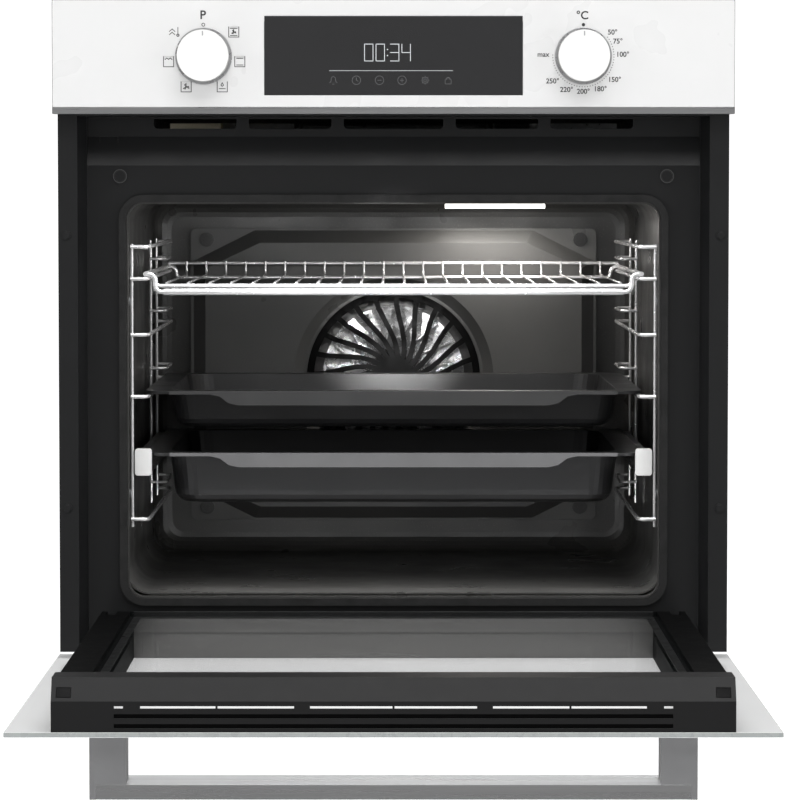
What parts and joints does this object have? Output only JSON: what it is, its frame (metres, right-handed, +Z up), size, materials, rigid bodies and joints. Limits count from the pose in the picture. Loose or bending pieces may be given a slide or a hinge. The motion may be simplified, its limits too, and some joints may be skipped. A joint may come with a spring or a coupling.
{
  "type": "wall oven",
  "caption": "Built-in electric oven with a drop-down door, pull-out trays on side racks, a convection fan, and retractable knobs beside a glass display.",
  "frame": {"origin": "middle of the cabinet niche's front lower edge: the back of the flange, at the underside of the base", "axes": "+X to the viewer's right, +Y into the cabinet, +Z up"},
  "size_m": [0.594, 1.0116, 0.6316],
  "materials": {
    "black_enamel_steel": "semi-gloss black enamel",
    "cavity_enamel": "dark grey speckled enamel, glossy",
    "gasket_rubber": "matt black silicone",
    "insulation_wool": "matt mineral wool",
    "galvanised_steel": "galvanised sheet, satin",
    "chromed_wire": "bright chrome",
    "heater_tube": "oxidised stainless tube, satin",
    "motor_steel": "satin grey",
    "lamp_glass": "clear, lightly frosted",
    "tray_enamel": "anthracite enamel, glossy",
    "white_fascia": "white gloss",
    "trim_aluminium": "brushed",
    "display_black": "black glass, gloss",
    "circuit_board": "green solder mask",
    "switch_plastic": "matt cream thermoset",
    "white_plastic": "white, satin",
    "outer_pane": "white back-painted glass, gloss",
    "clear_pane": "clear heat-reflecting glass",
    "dark_plastic": "satin black, heat resistant",
    "handle_aluminium": "brushed",
    "post_metal": "satin grey",
    "knob_ring": "satin metal ring"
  },
  "bodies": {
    "chassis": {"front_frame": "black_enamel_steel", "cavity_liner": "cavity_enamel", "door_gasket": "gasket_rubber", "insulation_blanket": "insulation_wool", "side_panel_left": "galvanised_steel", "side_panel_right": "galvanised_steel", "top_cover": "galvanised_steel", "rear_cover": "galvanised_steel", "base_plate": "galvanised_steel", "back_baffle": "cavity_enamel", "fan_grille": "cavity_enamel", "baffle_screws": "chromed_wire", "fan_motor": "motor_steel", "ring_heater": "heater_tube", "grill_heater": "heater_tube", "bottom_heater": "heater_tube", "lamp_housing": "galvanised_steel", "lamp_bulb": "lamp_glass", "lamp_lens": "lamp_glass", "side_rack_left": "chromed_wire", "side_rack_right": "chromed_wire", "rack_sockets": "galvanised_steel", "outer_rails": "galvanised_steel", "control_fascia": "white_fascia", "fascia_trim": "trim_aluminium", "display_glass": "display_black", "control_bracket": "galvanised_steel", "control_board": "circuit_board", "selector_switch": "switch_plastic", "thermostat": "galvanised_steel", "knob_bezels": "knob_ring", "air_duct": "galvanised_steel", "cooling_fan_housing": "galvanised_steel", "cooling_fan_motor": "motor_steel", "terminal_block": "switch_plastic", "hinge_receivers": "galvanised_steel", "hinge_arms": "galvanised_steel"},
    "door": {"hinge_channels": "galvanised_steel", "door_glass_outer": "outer_pane", "door_glass_middle": "clear_pane", "door_glass_inner": "clear_pane", "door_side_frames": "dark_plastic", "door_top_trim": "dark_plastic", "door_bottom_rail": "dark_plastic", "handle_bar": "handle_aluminium", "handle_posts": "post_metal"},
    "release_button_left": {"release_button_left": "dark_plastic"},
    "release_button_right": {"release_button_right": "dark_plastic"},
    "convection_fan": {"convection_fan": "galvanised_steel"},
    "cooling_fan_wheel": {"cooling_fan_wheel": "galvanised_steel"},
    "selector_shaft": {"selector_shaft": "galvanised_steel"},
    "function_knob": {"function_knob": "white_plastic"},
    "thermostat_shaft": {"thermostat_shaft": "galvanised_steel"},
    "temperature_knob": {"temperature_knob": "white_plastic"},
    "wire_shelf": {"wire_shelf": "chromed_wire"},
    "baking_tray": {"baking_tray": "tray_enamel"},
    "deep_tray": {"deep_tray": "tray_enamel"},
    "inner_rails": {"inner_rails": "chromed_wire", "rail_caps": "white_plastic"},
    "middle_rails": {"middle_rails": "galvanised_steel"}
  },
  "joints": [
    {"name": "door_hinge", "type": "hinge", "parent": "chassis", "child": "door", "pos_m": [0, -0.002, 0.0334], "axis": [1, 0, 0], "range_deg": [-90, 0]},
    {"name": "release_button_left_press", "type": "slide", "parent": "door", "child": "release_button_left", "axis": [0, 1, 0], "range_m": [0, 0.0015], "stiffness_N_per_m": 400},
    {"name": "release_button_right_press", "type": "slide", "parent": "door", "child": "release_button_right", "axis": [0, 1, 0], "range_m": [0, 0.0015], "stiffness_N_per_m": 400},
    {"name": "convection_fan_spin", "type": "hinge", "parent": "chassis", "child": "convection_fan", "pos_m": [0, 0.42, 0.2455], "axis": [0, 1, 0], "continuous": true},
    {"name": "cooling_fan_spin", "type": "hinge", "parent": "chassis", "child": "cooling_fan_wheel", "pos_m": [0, 0.33, 0.4948], "axis": [1, 0, 0], "continuous": true},
    {"name": "function_knob_turn", "type": "hinge", "parent": "chassis", "child": "selector_shaft", "pos_m": [-0.165, 0, 0.546], "axis": [0, 1, 0], "continuous": true},
    {"name": "function_knob_push", "type": "slide", "parent": "selector_shaft", "child": "function_knob", "axis": [0, 1, 0], "range_m": [0, 0.018]},
    {"name": "temperature_knob_turn", "type": "hinge", "parent": "chassis", "child": "thermostat_shaft", "pos_m": [0.165, 0, 0.546], "axis": [0, 1, 0], "range_deg": [0, 275]},
    {"name": "temperature_knob_push", "type": "slide", "parent": "thermostat_shaft", "child": "temperature_knob", "axis": [0, 1, 0], "range_m": [0, 0.018]},
    {"name": "wire_shelf_slide", "type": "slide", "parent": "chassis", "child": "wire_shelf", "axis": [0, -1, 0], "range_m": [0, 0.3]},
    {"name": "baking_tray_slide", "type": "slide", "parent": "chassis", "child": "baking_tray", "axis": [0, -1, 0], "range_m": [0, 0.3]},
    {"name": "deep_tray_slide", "type": "slide", "parent": "chassis", "child": "deep_tray", "axis": [0, -1, 0], "range_m": [0, 0.3]},
    {"name": "inner_rails_slide", "type": "slide", "parent": "chassis", "child": "inner_rails", "axis": [0, -1, 0], "range_m": [0, 0.3]},
    {"name": "middle_rails_slide", "type": "slide", "parent": "chassis", "child": "middle_rails", "axis": [0, -1, 0], "range_m": [0, 0.15]}
  ],
  "couplings": [
    {"joint": "inner_rails_slide", "follows": "deep_tray_slide", "ratio": 1},
    {"joint": "middle_rails_slide", "follows": "deep_tray_slide", "ratio": 0.5}
  ]
}
